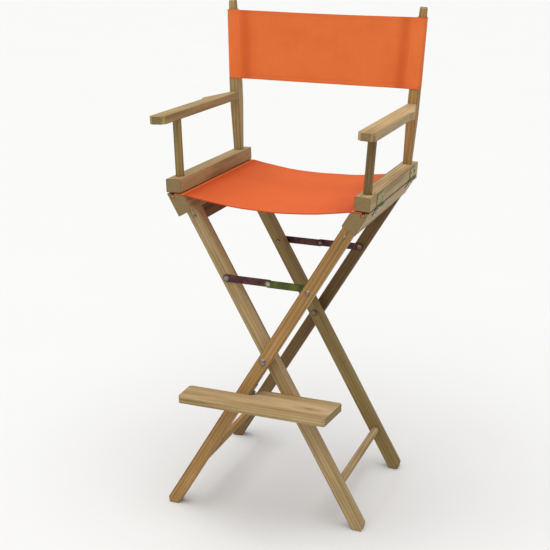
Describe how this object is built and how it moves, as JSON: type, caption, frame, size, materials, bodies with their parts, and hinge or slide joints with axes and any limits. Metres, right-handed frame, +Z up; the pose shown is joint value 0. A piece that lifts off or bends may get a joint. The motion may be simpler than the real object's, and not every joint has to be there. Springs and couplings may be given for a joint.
{
  "type": "folding chair",
  "caption": "Tall folding director's chair with crossed wooden legs, canvas seat and back, hinged arms, metal folding braces and a wooden footrest.",
  "frame": {"origin": "on the floor, under the middle of the chair's outline", "axes": "+Z up, the front of the chair faces -Y, +X to the right seen from the front"},
  "size_m": [0.5156, 0.504, 1.156],
  "materials": {
    "hardwood": "bare sanded hardwood with open grain",
    "hardwood_end": "turned hardwood dowel",
    "canvas": "heavy plain-weave cotton canvas with stitched hems",
    "hem_rod": "plain rod",
    "zinc_purple": "zinc plate with a purple-brown bloom",
    "zinc_olive": "zinc plate with an olive-green bloom",
    "steel": "dull zinc-plated steel"
  },
  "bodies": {
    "left_leg_frame": {"left_lower_rail": "hardwood", "left_apron": "hardwood", "left_front_leg": "hardwood", "left_back_leg": "hardwood", "left_stretcher": "hardwood_end", "left_leg_screws": "steel", "left_seat_rod": "hem_rod", "left_lower_hinge_leaves": "steel", "left_hinge_pins": "steel", "left_lower_hinge_screws": "steel", "pivot_bolts": "steel", "pivot_nuts": "steel", "pivot_spacers": "steel", "left_brace_bolts": "steel", "footrest_rest_plate": "steel", "rest_plate_screws": "steel", "seat_canvas": "canvas"},
    "right_leg_frame": {"right_lower_rail": "hardwood", "right_apron": "hardwood", "right_front_leg": "hardwood", "right_back_leg": "hardwood", "right_stretcher": "hardwood_end", "right_leg_screws": "steel", "right_seat_rod": "hem_rod", "right_lower_hinge_leaves": "steel", "right_hinge_pins": "steel", "right_lower_hinge_screws": "steel", "right_brace_bolt": "steel", "footrest_leg_leaf": "steel", "footrest_hinge_pin": "steel"},
    "left_arm_frame": {"left_upper_rail": "hardwood", "left_front_post": "hardwood_end", "left_back_post": "hardwood", "left_armrest": "hardwood", "left_upper_hinge_leaves": "steel", "left_upper_hinge_screws": "steel", "left_back_sleeve": "canvas", "back_canvas": "canvas"},
    "right_arm_frame": {"right_upper_rail": "hardwood", "right_front_post": "hardwood_end", "right_back_post": "hardwood", "right_armrest": "hardwood", "right_upper_hinge_leaves": "steel", "right_upper_hinge_screws": "steel", "right_back_sleeve": "canvas"},
    "front_brace_left": {"front_brace_left_link": "zinc_purple", "front_brace_rivet": "steel"},
    "front_brace_right": {"front_brace_right_link": "zinc_olive"},
    "back_brace_left": {"back_brace_left_link": "zinc_purple", "back_brace_rivet": "steel"},
    "back_brace_right": {"back_brace_right_link": "zinc_purple", "back_brace_end_rivet": "steel"},
    "footrest": {"footrest_board": "hardwood", "footrest_board_leaf": "steel"}
  },
  "joints": [
    {"name": "x_fold", "type": "hinge", "parent": "left_leg_frame", "child": "right_leg_frame", "pos_m": [0, 0.031, 0.394], "axis": [0, -1, 0], "range_deg": [0, 54], "deforming": ["seat_canvas", "back_canvas"]},
    {"name": "left_arm_fold", "type": "hinge", "parent": "left_leg_frame", "child": "left_arm_frame", "pos_m": [-0.23502, 0.031, 0.76], "axis": [0, -1, 0], "range_deg": [0, 27]},
    {"name": "right_arm_fold", "type": "hinge", "parent": "right_leg_frame", "child": "right_arm_frame", "pos_m": [0.23502, 0.031, 0.76], "axis": [0, 1, 0], "range_deg": [0, 27]},
    {"name": "front_brace_fold", "type": "hinge", "parent": "left_leg_frame", "child": "front_brace_left", "pos_m": [-0.1015, -0.153, 0.5698], "axis": [0, 1, 0], "range_deg": [0, 57]},
    {"name": "front_brace_knee", "type": "hinge", "parent": "front_brace_left", "child": "front_brace_right", "pos_m": [0, -0.153, 0.5698], "axis": [0, -1, 0], "range_deg": [0, 167.99]},
    {"name": "back_brace_fold", "type": "hinge", "parent": "left_leg_frame", "child": "back_brace_left", "pos_m": [-0.1015, 0.215, 0.5698], "axis": [0, 1, 0], "range_deg": [0, 57]},
    {"name": "back_brace_knee", "type": "hinge", "parent": "back_brace_left", "child": "back_brace_right", "pos_m": [0, 0.215, 0.5698], "axis": [0, -1, 0], "range_deg": [0, 167.99]},
    {"name": "footrest_fold", "type": "hinge", "parent": "right_leg_frame", "child": "footrest", "pos_m": [-0.02656, -0.1705, 0.311], "axis": [0, -1, 0], "range_deg": [0, 54]}
  ],
  "couplings": [
    {"joint": "left_arm_fold", "follows": "x_fold", "ratio": 0.5},
    {"joint": "right_arm_fold", "follows": "x_fold", "ratio": 0.5},
    {"joint": "front_brace_fold", "follows": "x_fold", "ratio": 1.0554},
    {"joint": "front_brace_knee", "follows": "x_fold", "ratio": 3.1108},
    {"joint": "back_brace_fold", "follows": "x_fold", "ratio": 1.0554},
    {"joint": "back_brace_knee", "follows": "x_fold", "ratio": 3.1108},
    {"joint": "footrest_fold", "follows": "x_fold", "ratio": 1}
  ]
}
